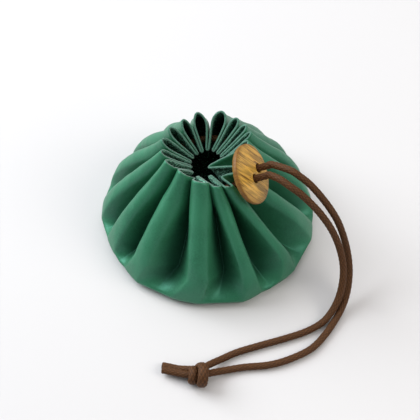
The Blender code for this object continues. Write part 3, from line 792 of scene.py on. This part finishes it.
class POUCH_OT_knot(bpy.types.Operator):
    """Overhand knot in both strands, a cord wound into a wide and a narrow band, with two cut tails"""
    bl_idname = "pouch.knot"
    bl_label = "Knot and tails"

    def execute(self, context):
        cord = context.scene.pouch_cord
        turns = np.linspace(0.0, 1.0, 300)[::4]
        angle = np.radians(110.0 - 930.0 * turns)
        small = smooth_step(turns, 0.42, 0.64)
        tuck = np.clip(np.minimum(turns, 1.0 - turns) / 0.14, 0.0, 1.0)
        radius = (4.2 - 1.5 * small) * (0.30 + 0.70 * tuck ** 0.7) * MM
        x = (-1.9 - 3.8 * small - turns) * MM + 0.15 * radius * np.sin(angle)
        wrap = np.stack([x, -88.0 * MM - 0.1 * x + radius * np.cos(angle),
                         (6.2 - 1.5 * small) * MM + radius * np.sin(angle)], axis=1)
        path = catmull_rom(wrap, CORD_STEP)
        swell = np.interp(np.linspace(0.0, 1.0, len(path)), [0.0, 0.12, 0.45, 0.60, 0.90, 1.0],
                          [1.0, 1.45, 1.45, 1.30, 1.30, 1.0])
        parts = [(path, np.array([1.0, 0.0, 0.0]), swell)]
        for route in (TAIL_FRONT_ROUTE, TAIL_BACK_ROUTE):
            parts.append((catmull_rom(np.array(route) * MM, CORD_STEP), np.array([0.0, 0.0, 1.0]), None))
        meshes = []
        for number, (path, reference, swell) in enumerate(parts):
            points, plait = cord_surface(path, cord, reference, swell=swell)
            meshes.append(grid_mesh("knot_part_%d" % number, points, True, True, {"plait": plait}))
        joined = join_meshes("overhand_knot", meshes)
        new_piece(joined, "pouch", "cord", [cord_finish(cord)], "cord_knot", "cord_tail_front",
                  "cord_tail_back")
        return {"FINISHED"}


def join_meshes(name, meshes):
    """One mesh from several, with their attributes."""
    bm = bmesh.new()
    for mesh in meshes:
        bm.from_mesh(mesh)
    joined = bpy.data.meshes.new(name)
    bm.to_mesh(joined)
    bm.free()
    for mesh in meshes:
        bpy.data.meshes.remove(mesh)
    return joined


class POUCH_OT_button(bpy.types.Operator):
    """Round wooden stopper button with two cord holes"""
    bl_idname = "pouch.button"
    bl_label = "Button"

    def execute(self, context):
        button = context.scene.pouch_button
        cord = context.scene.pouch_cord
        axis, across, up, centre = button_frame()
        disc = turned_mesh("button_blank", button_profile(button), axis, across, up, centre)
        piece = bpy.data.objects.new("button_blank", disc)
        bpy.context.scene.collection.objects.link(piece)
        cutters = []
        for number, hole in enumerate(hole_centres()):
            drill = turned_mesh("drill", drill_profile(button, cord), axis, across, up, hole)
            cutter = bpy.data.objects.new("drill_%d" % number, drill)
            bpy.context.scene.collection.objects.link(cutter)
            cut = piece.modifiers.new("hole_%d" % number, "BOOLEAN")
            cut.operation = "DIFFERENCE"
            cut.object = cutter
            cutters.append(cutter)
        context.view_layer.update()
        mesh = bpy.data.meshes.new_from_object(piece.evaluated_get(context.evaluated_depsgraph_get()))
        for old in [piece] + cutters:
            bpy.data.objects.remove(old, do_unlink=True)
        if not mesh.polygons:
            raise RuntimeError("drilling left nothing of the button")
        mesh.name = "stopper_button"
        places = np.empty(len(mesh.vertices) * 3)
        mesh.vertices.foreach_get("co", places)
        offset = places.reshape(-1, 3) - centre
        lean = math.radians(-77.0)
        along = across * math.cos(lean) + up * math.sin(lean)
        over = np.cross(axis, along)
        grain = np.stack([offset @ along, offset @ over, offset @ axis], axis=1)
        mesh.attributes.new("grain", "FLOAT_VECTOR", "POINT").data.foreach_set("vector", grain.ravel())
        reach = np.hypot(offset @ across, offset @ up) * 2.0 / button.diameter
        rim = np.clip((reach - 0.93) / 0.06, 0.0, 1.0)
        mesh.attributes.new("rim", "FLOAT", "POINT").data.foreach_set("value", rim)
        piece = new_piece(mesh, "button", "wood", [wood_finish(button)], "wood_button")
        mesh.set_sharp_from_angle(angle=math.radians(40.0))
        return {"FINISHED"}


def button_profile(button):
    """Half outline of the disc from back centre to front centre: (radius, height).

    The front edge is a quarter circle and the back edge a longer quarter ellipse.
    """
    edge = button.edge_round
    reach, deep = button.diameter / 2.0 - edge, button.thickness
    turn = np.radians(np.linspace(-90.0, 0.0, 7))
    back = np.stack([reach + edge * (2.0 * np.cos(turn) - 1.0), -deep + 2.6 * edge * (1.0 + np.sin(turn))],
                    axis=1)
    front = np.stack([reach + edge * np.cos(turn[::-1]), -edge - edge * np.sin(turn[::-1])], axis=1)
    inner = np.array([0.2, 0.55, 0.85])[:, None] * np.array([[reach, 0.0]])
    return np.concatenate([inner + [0.0, -deep], back, front, inner[::-1]])


def drill_profile(button, cord):
    """Half outline of a drill that flares where it leaves each face, so a hole's lip is rounded."""
    hole = cord.diameter / 2.0 + 0.40 * MM
    lip = 0.40 * MM
    turn = np.radians(np.linspace(0.0, 75.0, 5))
    flare = np.stack([hole + lip * (1.0 - np.cos(turn)), -lip + lip * np.sin(turn)], axis=1)
    top = np.concatenate([flare, [[hole + lip * 1.1, 1.0 * MM]]])
    bottom = np.stack([top[::-1, 0], -button.thickness - top[::-1, 1]], axis=1)
    return np.concatenate([bottom, top])


def turned_mesh(name, profile, axis, across, up, centre, around=96):
    """Surface of revolution: each outline point carried in a circle round the axis."""
    angle = np.linspace(0.0, 2.0 * np.pi, around, endpoint=False)
    ring = np.cos(angle)[:, None] * across + np.sin(angle)[:, None] * up
    points = centre + profile[:, :1, None] * ring[None] + profile[:, 1:, None] * axis
    return grid_mesh(name, points, True, True)


class POUCH_OT_stage(bpy.types.Operator):
    """Pale floor, soft studio light and the camera"""
    bl_idname = "pouch.stage"
    bl_label = "Stage"

    def execute(self, context):
        stage = context.scene.pouch_stage
        scene = context.scene
        add_floor(stage)
        add_light("key_light", (-0.94, 0.42, 0.81), 0.98, stage.key_power * 1.70, (0.93, 0.98, 1.0))
        add_light("top_light", (-0.08, 0.38, 1.0), 1.2, stage.key_power * 0.56, (1.0, 0.99, 0.99))
        add_light("fill_light", (0.62, -0.25, 0.60), 0.50, stage.key_power * 0.27, (1.0, 0.95, 0.86))
        world = bpy.data.worlds.new("soft_sky")
        world.use_nodes = True
        sky = world.node_tree.nodes["Background"]
        sky.inputs["Color"].default_value = (1.0, 1.0, 1.0, 1.0)
        sky.inputs["Strength"].default_value = stage.sky_strength
        scene.world = world
        scene.view_settings.view_transform = "Standard"
        lens = bpy.data.cameras.new("photo_camera")
        lens.sensor_width = 36.0
        lens.lens = 89.14
        camera = bpy.data.objects.new("photo_camera", lens)
        scene.collection.objects.link(camera)
        target = Vector((1.2 * MM, 5.7 * MM, 0.0))
        back = Vector((0.0, -math.cos(stage.camera_elevation), math.sin(stage.camera_elevation)))
        camera.location = target + back * stage.camera_distance
        camera.rotation_euler = (-back).to_track_quat("-Z", "Y").to_euler()
        lens.clip_start = 0.01
        scene.camera = camera
        return {"FINISHED"}


def add_floor(stage):
    """Wide floor that curves up far behind the object: height = 0, then a quarter circle."""
    reach, bend = 3.0, 1.0
    turn = np.radians(np.linspace(0.0, 90.0, 12))
    depth = np.concatenate([[-reach, 0.0, reach], reach + bend * np.sin(turn[1:])])
    height = np.concatenate([[0.0, 0.0, 0.0], bend * (1.0 - np.cos(turn[1:]))])
    side = np.linspace(-reach, reach, 9)
    points = np.stack(np.broadcast_arrays(side[None, :], depth[:, None], height[:, None]), axis=-1)
    rows, count = points.shape[:2]
    index = np.arange(rows * count).reshape(rows, count)
    quads = np.stack([index[:-1, :-1], index[:-1, 1:], index[1:, 1:], index[1:, :-1]], axis=-1)
    mesh = bpy.data.meshes.new("floor")
    mesh.from_pydata(points.reshape(-1, 3).tolist(), [], quads.reshape(-1, 4).tolist())
    mesh.materials.append(floor_finish(stage.floor_colour))
    mesh.shade_smooth()
    floor = bpy.data.objects.new("floor", mesh)
    bpy.context.scene.collection.objects.link(floor)


def add_light(name, place, size, power, colour):
    """Square soft light aimed at the object."""
    data = bpy.data.lights.new(name, "AREA")
    data.shape = "SQUARE"
    data.size = size
    data.energy = power
    data.color = colour
    light = bpy.data.objects.new(name, data)
    light.location = place
    light.rotation_euler = (-Vector(place)).to_track_quat("-Z", "Y").to_euler()
    bpy.context.scene.collection.objects.link(light)


class POUCH_PT_pieces(bpy.types.Panel):
    """Buttons and settings for each group of pieces"""
    bl_idname = "POUCH_PT_pieces"
    bl_label = "Drawstring Pouch"
    bl_space_type = "VIEW_3D"
    bl_region_type = "UI"
    bl_category = "Pouch"

    def draw(self, context):
        layout = self.layout
        for group, operators in PANEL_ROWS:
            box = layout.box()
            settings = getattr(context.scene, group)
            for key in settings.__annotations__:
                box.prop(settings, key)
            for operator in operators:
                box.operator(operator.bl_idname)


SETTINGS = {
    "pouch_leather": PouchLeatherSettings,
    "pouch_cord": PouchCordSettings,
    "pouch_button": PouchButtonSettings,
    "pouch_stage": PouchStageSettings,
}
PANEL_ROWS = (
    ("pouch_leather", (POUCH_OT_leather,)),
    ("pouch_cord", (POUCH_OT_neck_cord, POUCH_OT_knot, POUCH_OT_strands)),
    ("pouch_button", (POUCH_OT_button,)),
    ("pouch_stage", (POUCH_OT_stage,)),
)
OPERATORS = tuple(operator for _, operators in PANEL_ROWS for operator in operators)
CLASSES = tuple(SETTINGS.values()) + OPERATORS + (POUCH_PT_pieces,)


def register():
    for cls in CLASSES:
        bpy.utils.register_class(cls)
    for name, cls in SETTINGS.items():
        setattr(bpy.types.Scene, name, bpy.props.PointerProperty(type=cls))


def unregister():
    for name in SETTINGS:
        delattr(bpy.types.Scene, name)
    for cls in reversed(CLASSES):
        bpy.utils.unregister_class(cls)


def main():
    register()
    bpy.ops.pouch.stage()
    bpy.ops.pouch.leather()
    bpy.ops.pouch.neck_cord()
    bpy.ops.pouch.knot()
    bpy.ops.pouch.strands()
    bpy.ops.pouch.button()


if __name__ == "__main__":
    main()
